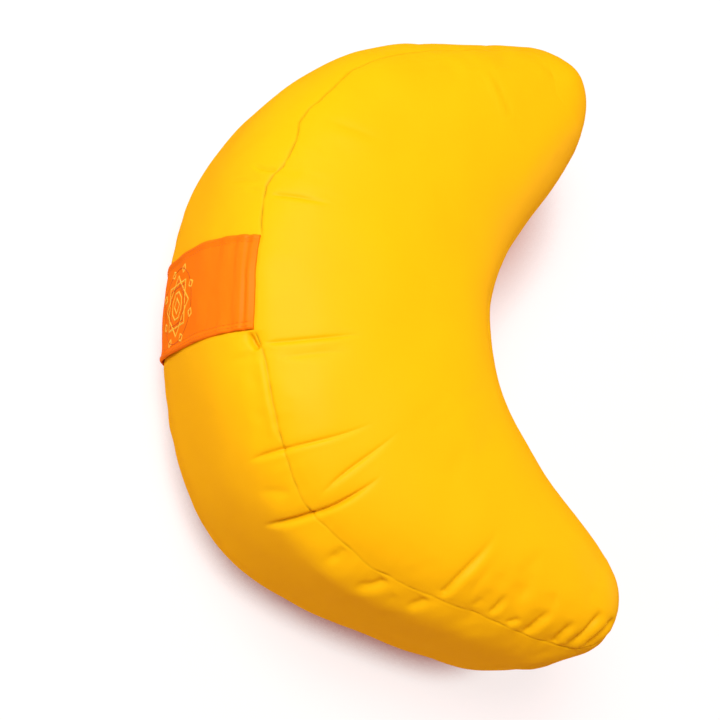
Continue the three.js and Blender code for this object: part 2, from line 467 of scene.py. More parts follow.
def cushion_faces(shape):
    """All faces of the closed cushion over its points: the grid's, the foot's, the crown's."""
    rings, count = shape.inset.shape
    core_index = shape.stations.core_index.tolist()
    foot_start = rings * count
    crown_start = foot_start + len(shape.foot)
    return (
        ring_faces(rings, count).tolist()
        + cap_faces(core_index, 0, foot_start, upward=False)
        + cap_faces(core_index, (rings - 1) * count, crown_start, upward=True)
    )


def cushion_points(shape):
    return np.concatenate([shape.points.reshape(-1, 3), shape.foot, shape.crown])


def pattern_places(shape, faces):
    """Where each face corner lies on its flat panel, in mm, so that the weave runs true."""
    count = shape.inset.shape[1]
    side = range(shape.side_start * count, shape.top_start * count)
    flat = cushion_points(shape)[:, :2]
    rolled = np.stack([shape.along.ravel(), shape.inset.ravel()], 1)
    wrap = shape.stations.along[-1] - shape.stations.along[0]
    places = []
    for face in faces:
        on_side = len(face) == 4 and face[0] in side
        corners = rolled[face] if on_side else flat[face]
        if on_side and np.ptp(corners[:, 0]) > wrap / 2:
            corners[corners[:, 0] < 0, 0] += wrap
        places.append(corners)
    return np.concatenate(places)


# ---- cloth simulation

CLOTH_SETTINGS = dict(
    quality=5, mass=0.25, tension_stiffness=12, compression_stiffness=12, shear_stiffness=4,
    bending_stiffness=0.15, use_pressure=True, uniform_pressure_force=4, vertex_group_mass="foot",
    vertex_group_shrink="seams", shrink_max=0.03,
)
CLOTH_VOXEL = 0.005
CLOTH_FRAMES = 20
CLOTH_CAP = 5
CLOTH_SHARE = 0.5
PULL_WIDTH = 7
BOTTOM_PULL = 0.3
PINNED_HEIGHT = 3
EVEN_SHARE = 0.95
EVEN_ROUNDS = 90
LEAST_WEIGHT = 0.01
NEAREST_COUNT = 8
NEAREST_REACH = 4

# Where the seams' stitches gather the cloth most: (along, share of the full pull).
GATHERED = [
    (-640, 0.2), (-430, 0.2), (-380, 0.4), (-330, 0.3), (-120, 0.2), (-90, 0.5), (-60, 0.5), (-40, 0.1),
    (30, 0.1), (45, 0.4), (100, 0.4), (160, 0.4), (190, 0.3), (290, 0.4), (330, 0.8), (390, 1),
    (420, 0.5), (450, 0.2), (640, 0.2),
]


def evaluated_points(thing):
    """The object's points in mm as its modifiers leave them."""
    graph = bpy.context.evaluated_depsgraph_get()
    mesh = thing.evaluated_get(graph).data
    flat = np.empty(len(mesh.vertices) * 3)
    mesh.vertices.foreach_get("co", flat)
    return flat.reshape(-1, 3) / MM


def remeshed_copy(shape):
    """An even voxel mesh of the cushion, which the cloth runs on."""
    faces = cushion_faces(shape)
    source = mesh_object("cloth_source", cushion_points(shape), faces)
    remesh = source.modifiers.new("Remesh", "REMESH")
    remesh.mode = "VOXEL"
    remesh.voxel_size = CLOTH_VOXEL
    graph = bpy.context.evaluated_depsgraph_get()
    mesh = bpy.data.meshes.new_from_object(source.evaluated_get(graph))
    cloth = placed("cloth_run", mesh)
    bpy.data.objects.remove(source)
    return cloth


def tree_of(points):
    tree = KDTree(len(points))
    for index, point in enumerate(points):
        tree.insert(point, index)
    tree.balance()
    return tree


def paint_group(thing, name, weights):
    group = thing.vertex_groups.new(name=name)
    for index in np.nonzero(weights > LEAST_WEIGHT)[0]:
        group.add([int(index)], float(weights[index]), "REPLACE")


def seam_weights(shape, points):
    """How strongly the seams' stitches draw in the cloth at each point."""
    seams = shape.points[[shape.side_start, shape.top_start]].reshape(-1, 3)
    pull = table_at(GATHERED, shape.stations.along)
    pull = np.concatenate([BOTTOM_PULL * pull, pull])
    tree = tree_of(seams)
    weights = np.zeros(len(points))
    for index, point in enumerate(points):
        _, nearest, distance = tree.find(point)
        weights[index] = pull[nearest] * math.exp(-((distance / PULL_WIDTH) ** 2))
    return weights


def run_cloth(cloth, start, shape):
    """Runs the cloth under pressure on its pinned foot and returns its points afterwards."""
    paint_group(cloth, "foot", (start[:, 2] < PINNED_HEIGHT).astype(float))
    paint_group(cloth, "seams", seam_weights(shape, start))
    modifier = cloth.modifiers.new("Cloth", "CLOTH")
    for name, value in CLOTH_SETTINGS.items():
        setattr(modifier.settings, name, value)
    modifier.settings.effector_weights.gravity = 0
    modifier.collision_settings.use_collision = False
    scene = bpy.context.scene
    for step in range(1, CLOTH_FRAMES + 1):
        scene.frame_set(step)
    settled = evaluated_points(cloth)
    scene.frame_set(1)
    return settled


def evened(values, edges, count, rounds):
    """Values averaged over the mesh's neighbours, again and again."""
    degree = np.bincount(edges.ravel(), minlength=count)[:, None]
    for _ in range(rounds):
        total = np.zeros_like(values)
        for axis in range(values.shape[1]):
            total[:, axis] += np.bincount(edges[:, 0], values[edges[:, 1], axis], count)
            total[:, axis] += np.bincount(edges[:, 1], values[edges[:, 0], axis], count)
        values = 0.5 * values + 0.5 * total / np.maximum(degree, 1)
    return values


def cloth_moves(shape):
    """How far each grid point moves as the cloth settles, less most of the even swelling."""
    cloth = remeshed_copy(shape)
    start = evaluated_points(cloth)
    edges = np.empty(len(cloth.data.edges) * 2, int)
    cloth.data.edges.foreach_get("vertices", edges)
    moves = run_cloth(cloth, start, shape) - start
    mesh = cloth.data
    bpy.data.objects.remove(cloth)
    bpy.data.meshes.remove(mesh)
    moves = moves - EVEN_SHARE * evened(moves, edges.reshape(-1, 2), len(start), EVEN_ROUNDS)
    size = np.linalg.norm(moves, axis=1, keepdims=True)
    moves *= CLOTH_SHARE * np.minimum(1, CLOTH_CAP / np.maximum(size, TINY))
    tree = tree_of(start)
    flat = with_caps(shape).reshape(-1, 3)
    result = np.zeros_like(flat)
    for index, point in enumerate(flat):
        _, found, distance = zip(*tree.find_n(point, NEAREST_COUNT))
        weights = bell(np.array(distance) / NEAREST_REACH) + TINY**2
        result[index] = weights @ moves[list(found)] / weights.sum()
    return result.reshape(with_caps(shape).shape)


def move_crown(shape, moves):
    """Moves the crown's middle line as the stations that meet there move on the average."""
    index = shape.stations.core_index
    counts = np.bincount(index)
    for axis in range(3):
        shape.crown[:, axis] += np.bincount(index, moves[:, axis]) / counts


def apply_cloth(shape):
    """Moves the grid and its crown as the cloth settled."""
    moves = cloth_moves(shape)
    shape.points = shape.points + moves[1:-1]
    move_crown(shape, moves[-1])


# ---- folds, seams and swells

# Creases as (depth, width, crest, lead, tail, path). `depth` and `width` are the valley's, in mm.
# `crest` is the height of the ridge on the path's right, seen from outside. `lead` and `tail` are
# the shares of its length over which it comes and goes. `path` is its places as (along, inset).
FOLDS = [
    # below the band's lower corner
    (5.2, 1.3, 0.2, 0.4, 0.15, [(32, -3.5), (38, -3.5), (45, -2)]),
    (1.5, 1.0, 0.35, 0.15, 0.45, [(41, 1), (42, 12), (41, 24), (41, 42), (39, 66)]),
    (0.9, 2.2, 0.0, 0.3, 0.5, [(51, 6), (52, 21), (52, 34), (55, 54)]),
    (1.0, 2.4, 0.0, 0.2, 0.6, [(45, -5), (48, -11), (48, -24)]),
    (0.4, 1.1, 1.0, 0.1, 0.2, [(48, 0), (72, 0), (109, 0)]),
    (0.5, 2.0, 0.3, 0.4, 0.4, [(57, -8), (62, -9), (70, -7)]),
    (0.5, 2.0, 0.3, 0.4, 0.4, [(80, -9), (86, -10), (92, -7)]),
    # the next crease, over the seam
    (2.3, 1.2, 0.4, 0.45, 0.2, [(111, -24), (111, -11), (113, 4)]),
    (1.8, 0.95, 0.2, 0.12, 0.75, [(112, -4), (114, 10), (117, 21), (120, 34), (125, 62)]),
    (1.1, 2.2, 0.2, 0.4, 0.3, [(129, -26), (136, -11), (141, -4)]),
    # a curved one on the top panel
    (1.6, 1.15, 0.25, 0.3, 0.6, [(153, 9), (150, 27), (148, 36), (150, 54), (149, 76)]),
    # the deepest one, over the seam
    (4.6, 1.2, 0.4, 0.4, 0.1, [(150, -34), (153, -21), (157, -8), (160, 3)]),
    (3.8, 1.1, 0.3, 0.1, 0.65, [(159, -1), (165, 17), (168, 29), (172, 46)]),
    # in the slack under the seam
    (1.4, 1.9, 0.3, 0.3, 0.4, [(191, -1), (191, -8), (190, -14)]),
    (1.0, 1.8, 0.3, 0.4, 0.4, [(194, -13), (190, -11), (186, -10)]),
    (2.5, 1.9, 0.7, 0.35, 0.2, [(213, -13), (218, -13), (222, -11), (227, -2)]),
    (2.2, 1.8, 0.7, 0.4, 0.2, [(248, -14), (252, -11), (255, -7), (256, -2)]),
    (0.9, 1.7, 0.3, 0.4, 0.4, [(236, -14), (240, -10)]),
    # towards the -X horn
    (1.7, 1.0, 0.3, 0.15, 0.6, [(-61, 4), (-63, 14), (-65, 34), (-67, 44)]),
    (1.7, 1.1, 0.6, 0.35, 0.2, [(-84, -18), (-80, -8), (-82, 0)]),
    (0.8, 1.5, 0.3, 0.4, 0.3, [(-72, -34), (-71, -18), (-72, -5)]),
    (0.7, 1.2, 0.3, 0.4, 0.3, [(-65, -14), (-64, -3)]),
    (0.8, 2.4, 0.3, 0.4, 0.5, [(-134, 9), (-141, 26), (-149, 38), (-164, 52)]),
    (1.1, 1.3, 0.9, 0.5, 0.3, [(-296, 14), (-297, 32), (-300, 51), (-304, 66)]),
    (0.6, 1.9, 0.5, 0.4, 0.4, [(-343, 12), (-350, 24), (-367, 36)]),
    # the +X horn's long crease, and the gathers along its seam
    (2.7, 1.5, 0.8, 0.07, 0.65, [(263, 2), (266, 15), (269, 24), (273, 32), (278, 43), (283, 56)]),
    (0.7, 1.8, 0.2, 0.3, 0.5, [(281, 5), (280, 14), (282, 24), (287, 36)]),
    (0.8, 1.5, 0.4, 0.3, 0.4, [(286, 3), (289, 12)]),
    (2.3, 1.4, 0.9, 0.3, 0.45, [(298, 2), (300, 6), (302, 12), (303, 21)]),
    (1.9, 1.4, 0.7, 0.3, 0.4, [(312, 2), (316, 5), (321, 11)]),
    (0.5, 1.9, 0.2, 0.4, 0.5, [(313, 19), (317, 32)]),
    (2.9, 1.5, 1.0, 0.25, 0.4, [(328, -1), (330, 4), (333, 12), (339, 24)]),
    (0.6, 1.7, 0.2, 0.4, 0.4, [(338, 21), (338, 29), (335, 35)]),
    (2.8, 1.6, 1.2, 0.2, 0.4, [(353, -1), (352, 4), (353, 10), (357, 22)]),
    (3.4, 2.3, 1.3, 0.2, 0.45, [(361, 1), (364, 6), (368, 13), (375, 18), (387, 24), (406, 28)]),
    (5.6, 2.3, 0.9, 0.2, 0.3, [(377, 1), (383, 6), (390, 9), (398, 11), (408, 14), (418, 14)]),
    (1.5, 1.8, 0.4, 0.4, 0.3, [(338, -33), (352, -28), (366, -24), (380, -19)]),
]

# Broad fuller or slacker places: (along, inset, size along, size up, amount outwards).
SWELLS = [
    (158, -112, 34, 42, 3.2), (116, -105, 28, 40, 1.8), (349, -58, 20, 26, 1.8),
    (-346, 0, 24, 28, -1.2), (-277, -6, 24, 24, 0.9), (611, 8, 36, 30, 1.4),
    (-592, -6, 20, 25, 1.0), (352, -100, 24, 40, 2.2), (306, -98, 18, 26, 0.5),
    (270, -104, 20, 30, -1.2), (355, -28, 18, 18, 3.4), (405, 14, 14, 16, 0.9),
    (212, -97, 16, 30, -1.5), (-68, -106, 20, 24, 0.9), (52, -108, 14, 22, -1.5),
    (-618, -2, 16, 20, -1.6), (380, -28, 14, 24, -1.8), (500, 2, 30, 26, 1.8),
    (-236, -25, 40, 32, 3.0), (-138, -66, 42, 42, -2.0), (-398, 5, 22, 28, 2.4),
    (-456, -3, 26, 32, -4.2), (225, -21, 85, 11.5, 2.6), (180, -11, 6, 8, 0.5),
    (206, -9, 7, 8, 0.9), (236, -8, 8, 7, 0.9), (268, -10, 9, 8, 0.9), (199, -22, 8, 7, 0.6),
]

# How deep the top seam's stitched line is: (along, depth), in mm.
SEAM_DEPTHS = [
    (-640, 0.5), (-430, 0.6), (-300, 1.6), (-36, 1.3), (-31, 0.2), (31, 0.2), (36, 1.0), (48, 0.8),
    (110, 0.8), (175, 0.5), (250, 0.36), (350, 0.45), (372, 0.9), (405, 1.1), (425, 0.6), (640, 0.5),
]
SEAM_LINE = SimpleNamespace(width=0.5, draw=0.25, spread=4.5)
BOTTOM_LINE = SimpleNamespace(width=0.8, draw=0.8, spread=6)
BOTTOM_DEPTH = 0.8
GATHER_DEPTH = 0.3
GATHER_REACH = 9
BOTTOM_GATHER = 0.3
# Wavelengths and seeds of the puckers above and below the top seam and along the bottom one.
GATHER_WAVES = [([9.7, 14.9, 23, 37], 11), ([8.9, 13.3, 21, 34], 12), ([8.9, 12.7, 17.3, 26], 13)]
BAND_DENT = 1.0
DENT_MARGIN = 3
DENT_FADE = 7
DENT_ENDS = 8
# A fold's valley and ridge, with places and widths as shares of the valley's width.
SHOULDER = 0.25
SHOULDER_WIDTH = 4
VALLEY_POWER = 1.5
CREST_PLACE = 3.2
CREST_WIDTH = 2.2
FOLD_REACH = 6
FOLD_MARGIN = 2
# The filling's unevenness as (amount, size, seed).
SLACK = [(0.45, 70, 5), (0.1575, 26, 6)]
SEAM_UNEVENNESS = 0.35
UNEVEN_WAVES = [11, 17, 29]
UNEVEN_SEED = 31
# Fold depth and seam depth in mm at which the painted shade in a fold or along the seam is full.
FULL_FOLD_SHADE_DEPTH = 15
FULL_SEAM_SHADE_DEPTH = 1.5
CROWN_FADE = 25
FREE_HEIGHT = 6


def grid_place(shape, values, along, inset):
    """Values of the grid at places given as along and inset, between its stations and rings."""
    column = np.interp(along, shape.stations.along, np.arange(len(shape.stations.along)))
    left = np.minimum(column.astype(int), len(shape.stations.along) - 2)
    on = column - left
    insets = shape.inset[:, left] * (1 - on) + shape.inset[:, left + 1] * on
    rings = np.arange(len(insets))
    row = np.array([np.interp(depth, found, rings) for depth, found in zip(inset, insets.T)])
    return between_points(values, row, column)


def path_points(path, count=48):
    """Evenly spaced points of a smooth line along a path's few places."""
    places = np.array(path, float)
    way = passed(np.hypot(*np.diff(places, axis=0).T))
    degree = min(3, len(places) - 1)
    dense = np.linspace(0, way[-1], count)
    return [np.polyval(np.polyfit(way, places[:, axis], degree), dense) for axis in (0, 1)]


def fold_lift(shape, points, normals, fold):
    """How far one fold moves each point outwards, and how much painted shade it puts on each point."""
    depth, width, crest, lead, tail, path = fold
    along, inset = path_points(path)
    line = grid_place(shape, points, along, inset)
    facing = grid_place(shape, normals, along, inset)
    ahead = unit(np.gradient(line, axis=0))
    sideways = np.cross(ahead, facing)
    reach = width * FOLD_REACH + FOLD_MARGIN
    near = np.all((points > line.min(0) - reach) & (points < line.max(0) + reach), axis=2)
    chosen = points[near]
    nearest = ((chosen[:, None] - line[None]) ** 2).sum(2).argmin(1)
    away = chosen - line[nearest]
    across = (away * sideways[nearest]).sum(1)
    past = np.maximum(0, np.maximum(-(away @ ahead[0]), away @ ahead[-1]))
    past = np.where((nearest == 0) | (nearest == len(line) - 1), past, 0)
    share = nearest / (len(line) - 1)
    strength = smooth(share / lead) * smooth((1 - share) / tail) * bell(past / width)
    sharp = np.exp(-((np.abs(across) / width) ** VALLEY_POWER))
    valley = (1 - SHOULDER) * sharp + SHOULDER * bell(across / (SHOULDER_WIDTH * width))
    ridge = bell((across - CREST_PLACE * width) / (CREST_WIDTH * width))
    lift, tuck = np.zeros((2, *points.shape[:2]))
    lift[near] = strength * (crest * ridge - depth * valley)
    # Painted shade in the fold's valley, darker for deeper folds.
    tuck[near] = strength * bell(across / width) * min(1, depth / FULL_FOLD_SHADE_DEPTH)
    return lift, tuck


def seam_lift(inset, line, depth):
    return -(depth * bell(inset / line.width) + line.draw * bell(inset / line.spread))


def gather_lift(shape):
    """Small uneven puckers across both seams, which fade into the panels."""
    along = shape.stations.along
    top, side, low = (line_noise(along, waves, seed) for waves, seed in GATHER_WAVES)
    amount = table_at(GATHERED, along)
    above = np.where(shape.inset > 0, top * amount, side * amount)
    above = above * np.exp(-np.abs(shape.inset) / GATHER_REACH)
    below = low * BOTTOM_GATHER * np.exp(-np.abs(shape.above_bottom) / GATHER_REACH)
    return GATHER_DEPTH * (above + below)


def swell_lift(shape):
    lift = np.zeros(shape.inset.shape)
    for along, inset, size_along, size_up, amount in SWELLS:
        ahead = (shape.along - along + shape.around / 2) % shape.around - shape.around / 2
        far = (ahead / size_along) ** 2 + ((shape.inset - inset) / size_up) ** 2
        lift += amount * np.exp(-far)
    return lift * smooth((shape.inset[-1] - shape.inset) / CROWN_FADE)


def band_dent(shape):
    """The carrying band presses the side in a little."""
    inside = smooth((BAND_HALF + DENT_MARGIN - np.abs(shape.along)) / DENT_FADE)
    side = smooth(-shape.inset / DENT_ENDS) * smooth(shape.above_bottom / DENT_ENDS)
    return -BAND_DENT * inside * side


def dress(shape):
    """Adds folds, seams, gathers and slack to the grid, and the painted shade along the top seam and in
    the folds.
    """
    normals = grid_normals(shape)
    points = shape.points
    unevenness = 1 + SEAM_UNEVENNESS * line_noise(shape.along, UNEVEN_WAVES, UNEVEN_SEED)
    depth = table_at(SEAM_DEPTHS, shape.along) * unevenness
    lift = seam_lift(shape.inset, SEAM_LINE, depth)
    lift = lift + seam_lift(shape.above_bottom, BOTTOM_LINE, BOTTOM_DEPTH)
    lift = lift + gather_lift(shape) + swell_lift(shape) + band_dent(shape)
    for amount, size, seed in SLACK:
        lift += amount * space_noise(points, size, seed)
    # Painted shade along the top seam's stitched line, darker where the line is deeper.
    shape.tuck = bell(shape.inset / SEAM_LINE.width) * np.clip(depth / FULL_SEAM_SHADE_DEPTH, 0, 1)
    for fold in FOLDS:
        fold_move, fold_tuck = fold_lift(shape, points, normals, fold)
        lift += fold_move
        shape.tuck = np.maximum(shape.tuck, fold_tuck)
    free = smooth(points[..., 2] / FREE_HEIGHT)
    moves = normals * (lift * free)[..., None]
    shape.points = points + moves
    move_crown(shape, moves[-1])
    shape.points[..., 2] = np.maximum(shape.points[..., 2], 0)
    shape.points[: len(FOOT_SHARES) - 1, :, 2] = 0
    shape.foot[:, 2] = 0


def make_cushion(shape):
    faces = cushion_faces(shape)
    caps = np.zeros(len(shape.foot) + len(shape.crown))
    # Painted shade of the seam and folds, and none at the foot's and the crown's middle points.
    tuck = np.concatenate([shape.tuck.ravel(), caps])
    places = pattern_places(shape, faces)
    cushion = mesh_object("cushion_filled", cushion_points(shape), faces, places, tuck)
    cushion.data.materials.append(cushion_cloth())
    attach(cushion, BODY)
    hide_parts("cushion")
    return cushion


# ---- carrying band

BAND_WIDTH = 63
BAND_HALF = BAND_WIDTH / 2
BAND_GAP = 0.25
CLOTH_THICKNESS = 1.1
HEM_WIDTH = 4.2
HEM_THICKNESS = 0.45
HEM_STEP = 1.0
HEM_CREASE = 0.2
HEM_CREASE_WIDTH = 0.7
EDGE_ROUND = 0.9
EDGE_SHARE = 0.25
END_FADE = 5
EVEN_LIFT = 0.2
LOWEST_LIFT = -0.1
BAND_SLACK = 0.25
BAND_SLACK_SIZE = 22
BAND_SLACK_SEED = 21
WAVE_UNEVENNESS = 0.4
WAVE_SPREAD = 9
BAND_COLUMN_STEP = 0.75
BAND_ROW_STEP = 1.0
EDGE_STEPS = np.array([0, 0.12, 0.35, 0.7, 1.2])
BAND_START = 0.25
BAND_BLUR = 3

# Where the band stands off the cushion: (across, down from the top seam, size across, size
# down, lift), in mm.
BAND_LIFTS = [
    (32, 94, 10, 26, 1.6),
    (-31, 80, 8, 32, 0.3),
]
# Soft folds that run across the band: (down from the top seam, width, height).
BAND_WAVES = [
    (7, 9, 0.9), (3, 1.8, 0.5), (6.6, 1.2, -1.3), (10.5, 2.6, 0.3), (16, 1.8, -0.7), (23, 4, 0.45),
    (31, 4, -0.4), (44, 7, 0.4),
]


def graded_edges(width, step):
    """Columns across a strip, closer together at its two edges."""
    start = EDGE_STEPS[-1]
    inner = np.linspace(start, width - start, round((width - 2 * start) / step) + 1)
    return np.concatenate([EDGE_STEPS[:-1], inner, width - EDGE_STEPS[-2::-1]]) - width / 2


def patch_blur(patch, sigma, step, axis):
    """A Gaussian blur along one axis of a patch whose ends are continued evenly."""
    size = math.ceil(3 * sigma / step)
    kernel = np.exp(-0.5 * (np.arange(-size, size + 1) * step / sigma) ** 2)
    kernel /= kernel.sum()
    moved = np.moveaxis(patch, axis, 0)
    first = 2 * moved[:1] - moved[size:0:-1]
    last = 2 * moved[-1:] - moved[-2 : -size - 2 : -1]
    padded = np.concatenate([first, moved, last])
    blurred = sum(w * padded[i : i + len(moved)] for i, w in enumerate(kernel))
    return np.moveaxis(blurred, 0, axis)


def side_patch(shape, across, share):
    """The side's surface at ways across the band and shares of the way up between the seams."""
    rows = np.arange(shape.side_start, shape.top_start + 1)
    ring = np.interp(share, graded(SIDE_RINGS + 1), rows)
    station = np.interp(across, shape.stations.along, np.arange(len(shape.stations.along)))
    return between_points(shape.points, ring[:, None], station[None])


def band_lift(patch, columns, down):
    """How far each place of the band stands off the cushion."""
    lift = np.zeros(patch.shape[:2])
    for across, place, size_across, size_down, amount in BAND_LIFTS:
        far = ((columns - across)[None] / size_across) ** 2 + ((down - place)[:, None] / size_down) ** 2
        lift += amount * np.exp(-far)
    for place, width, height in BAND_WAVES:
        uneven = 1 + WAVE_UNEVENNESS * np.sin(columns / WAVE_SPREAD + place)
        lift += height * bell((down - place) / width)[:, None] * uneven[None]
    return lift + BAND_SLACK * space_noise(patch, BAND_SLACK_SIZE, BAND_SLACK_SEED)


def make_band_form(shape):
    """The band's surfaces as grids of rows down from the top seam and columns across."""
    columns = graded_edges(BAND_WIDTH, BAND_COLUMN_STEP)
    middle = np.argmin(np.abs(shape.stations.along))
    length = shape.inset[shape.top_start, middle] - shape.inset[shape.side_start, middle]
    down = np.linspace(BAND_START, length - BAND_START, round(length / BAND_ROW_STEP))
    patch = side_patch(shape, columns, 1 - down / length)
    for axis in (0, 1):
        patch = patch_blur(patch, BAND_BLUR, BAND_ROW_STEP, axis)
    normals = unit(np.cross(*(np.gradient(patch, axis=axis) for axis in (0, 1))))
    edge = BAND_HALF - np.abs(columns)
    hem = smooth((HEM_WIDTH - edge) / HEM_STEP)
    round_off = np.sqrt(np.maximum(0, 1 - np.maximum(0, 1 - edge / EDGE_ROUND) ** 2))
    thickness = (CLOTH_THICKNESS + HEM_THICKNESS * hem) * (EDGE_SHARE + (1 - EDGE_SHARE) * round_off)
    crease = -HEM_CREASE * bell((edge - HEM_WIDTH) / HEM_CREASE_WIDTH)
    ends = smooth(down / END_FADE) * smooth((length - down) / END_FADE)
    lift = np.maximum(band_lift(patch, columns, down), LOWEST_LIFT) * ends[:, None] + EVEN_LIFT
    form = SimpleNamespace(columns=columns, down=down, length=length, normals=normals)
    form.inner = patch + normals * (BAND_GAP + lift)[..., None]
    form.outer = patch + normals * (BAND_GAP + lift + (thickness + crease)[None])[..., None]
    return form


def sheet_faces(rows, columns):
    """Faces of a closed sheet: the outer grid, the inner grid after it, and the rim."""
    closed = ring_faces(rows, columns).reshape(rows - 1, columns, 4)
    outer = closed[:, :-1, [0, 3, 2, 1]].reshape(-1, 4)
    start = rows * columns
    inner = outer[:, ::-1] + start
    number = np.arange(start).reshape(rows, columns)
    rim = [*number[0, :-1], *number[:-1, -1], *number[-1, :0:-1], *number[:0:-1, 0]]
    edges = [[a, b, b + start, a + start] for a, b in zip(rim, rim[1:] + rim[:1])]
    return outer.tolist() + inner.tolist() + np.array(edges).tolist()


def make_band(form):
    rows, columns = form.outer.shape[:2]
    points = np.concatenate([form.outer.reshape(-1, 3), form.inner.reshape(-1, 3)])
    faces = sheet_faces(rows, columns)
    across, down = np.meshgrid(form.columns, form.down)
    flat = np.stack([across.ravel(), down.ravel()], 1)
    flat = np.concatenate([flat, flat])
    band = mesh_object("carrying_band", points, faces, np.concatenate([flat[face] for face in faces]))
    band.data.materials.append(band_cloth())
    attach(band, BODY)
    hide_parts("handle_band")
    return band


# ---- threads on the band

# Rings along a stitch as (share of its length, girth, height), the last two as shares of the
# thread's radius.
THREAD_RINGS = [(0.1, 0.7, -0.25), (0.5, 1.0, 0.45), (0.9, 0.7, -0.25)]
THREAD_SIDES = 6
THREAD_SINK = 0.4
HEM_STITCH = 2.6
HEM_STITCH_GAP = 0.5
HEM_LINES = [2.0, 5.2]
HEM_THREAD = 0.2
HEM_END = 3
HEM_WAVER = 0.12
HEM_WAVER_LENGTH = 7


def band_place(form, across, down):
    """Points on the band's outer surface and its normals there."""
    column = np.interp(across, form.columns, np.arange(len(form.columns)))
    row = np.interp(down, form.down, np.arange(len(form.down)))
    return [between_points(grid, row, column) for grid in (form.outer, form.normals)]


def stitch_faces():
    """Faces of one stitch: a point, a few rings round the thread, and a point."""
    rings = len(THREAD_RINGS)
    last = 1 + rings * THREAD_SIDES
    faces = []
    for turn in range(THREAD_SIDES):
        following = (turn + 1) % THREAD_SIDES
        faces.append([0, 1 + following, 1 + turn])
        for low in range(1, last - THREAD_SIDES, THREAD_SIDES):
            high = low + THREAD_SIDES
            faces.append([low + turn, low + following, high + following, high + turn])
        low = last - THREAD_SIDES
        faces.append([last, low + turn, low + following])
    return faces


def thread_mesh(name, form, starts, ends, radius, material):
    """Short raised stitches of one thread thickness, from starts to ends on the band."""
    start, normal = band_place(form, *starts.T)
    end, _ = band_place(form, *ends.T)
    middle, _ = band_place(form, *((starts + ends) / 2).T)
    side = np.cross(normal, unit(end - start))
    points = [start - normal * radius * THREAD_SINK]
    for share, girth, height in THREAD_RINGS:
        bend = 4 * share * (1 - share)
        centre = start * (1 - share) + end * share + (middle - (start + end) / 2) * bend
        centre = centre + normal * radius * height
        for turn in np.arange(THREAD_SIDES) * 2 * math.pi / THREAD_SIDES:
            points.append(centre + radius * girth * (side * math.cos(turn) + normal * math.sin(turn)))
    points.append(end - normal * radius * THREAD_SINK)
    cloud = np.stack(points, 1)
    firsts = range(0, len(cloud) * len(points), len(points))
    every = [[first + corner for corner in face] for first in firsts for face in stitch_faces()]
    threads = mesh_object(name, cloud.reshape(-1, 3), every)
    threads.data.materials.append(material)
    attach(threads, BODY)
    return threads


def make_hem_stitches(form):
    """Rows of straight stitches that hold the band's two turned edges."""
    places = np.arange(HEM_END, form.length - HEM_END - HEM_STITCH, HEM_STITCH + HEM_STITCH_GAP)
    starts = []
    for side in (-1, 1):
        for inset in HEM_LINES:
            across = side * (BAND_HALF - inset) + HEM_WAVER * np.sin(places / HEM_WAVER_LENGTH + inset)
            starts.append(np.stack([across, places], 1))
    starts = np.concatenate(starts)
    material = thread_material("hem_thread", HEM_THREAD_COLOUR)
    return thread_mesh("hem_stitches", form, starts, starts + [0, HEM_STITCH], HEM_THREAD, material)


# The embroidery: a plain eight-pointed star of two squares laid over each other, in a ring
# of small diamonds. Sizes in mm from its middle.
STAR_MIDDLE = (2, 77)
STAR_RADIUS = 19.5
STAR_INNER_RADIUS = 9
ROSE_RADIUS = 5
RING_RADIUS = 24
RING_CORNERS = 48
DARK_INSET = 3
DIAMOND_SIZE = 2.6
DIAMOND_COUNT = 8
SATIN_STEP = 0.34
SATIN_THREAD = 0.21
SATIN_WIDTH = 1.5
DARK_WIDTH = 1.05
SATIN_SLANT = math.radians(62)


def polygon_path(radius, corners, turn, centre=(0, 0)):
    """Even places on a closed polygon's outline, and the direction there."""
    angles = turn + np.arange(corners + 1) * 2 * math.pi / corners
    points = np.stack([np.cos(angles), np.sin(angles)], 1) * radius + centre
    places, ways = [], []
    for start, end in zip(points, points[1:]):
        length = np.linalg.norm(end - start)
        steps = max(2, round(length / SATIN_STEP))
        share = (np.arange(steps) / steps)[:, None]
        places.append(start * (1 - share) + end * share)
        ways.append(np.tile((end - start) / length, (steps, 1)))
    return np.concatenate(places), np.concatenate(ways)


def satin(paths, width):
    """Slanted stitches laid side by side along paths of places and directions."""
    places, ways = (np.concatenate(part) for part in zip(*paths))
    slant = turned(ways, math.cos(SATIN_SLANT), math.sin(SATIN_SLANT))
    middle = places + STAR_MIDDLE
    return middle - slant * width / 2, middle + slant * width / 2


def make_embroidery(form):
    eighth = math.pi / 4
    bright = [polygon_path(STAR_RADIUS, 4, turn) for turn in (0, eighth)]
    bright += [polygon_path(STAR_INNER_RADIUS, 8, eighth / 2), polygon_path(ROSE_RADIUS, 4, 0)]
    for angle in np.arange(DIAMOND_COUNT) * 2 * math.pi / DIAMOND_COUNT + eighth / 2:
        centre = (RING_RADIUS * math.cos(angle), RING_RADIUS * math.sin(angle))
        bright.append(polygon_path(DIAMOND_SIZE, 4, angle, centre=centre))
    dark = [polygon_path(RING_RADIUS, RING_CORNERS, 0)]
    dark += [polygon_path(STAR_RADIUS - DARK_INSET, 4, turn) for turn in (0, eighth)]
    pieces = []
    for name, paths, width, colour in (
        ("star", bright, SATIN_WIDTH, STAR_COLOUR),
        ("ring", dark, DARK_WIDTH, RING_COLOUR),
    ):
        material = thread_material(f"{name}_thread", colour)
        stitches = satin(paths, width)
        pieces.append(thread_mesh(f"embroidery_{name}", form, *stitches, SATIN_THREAD, material))
    return pieces


# ---- materials

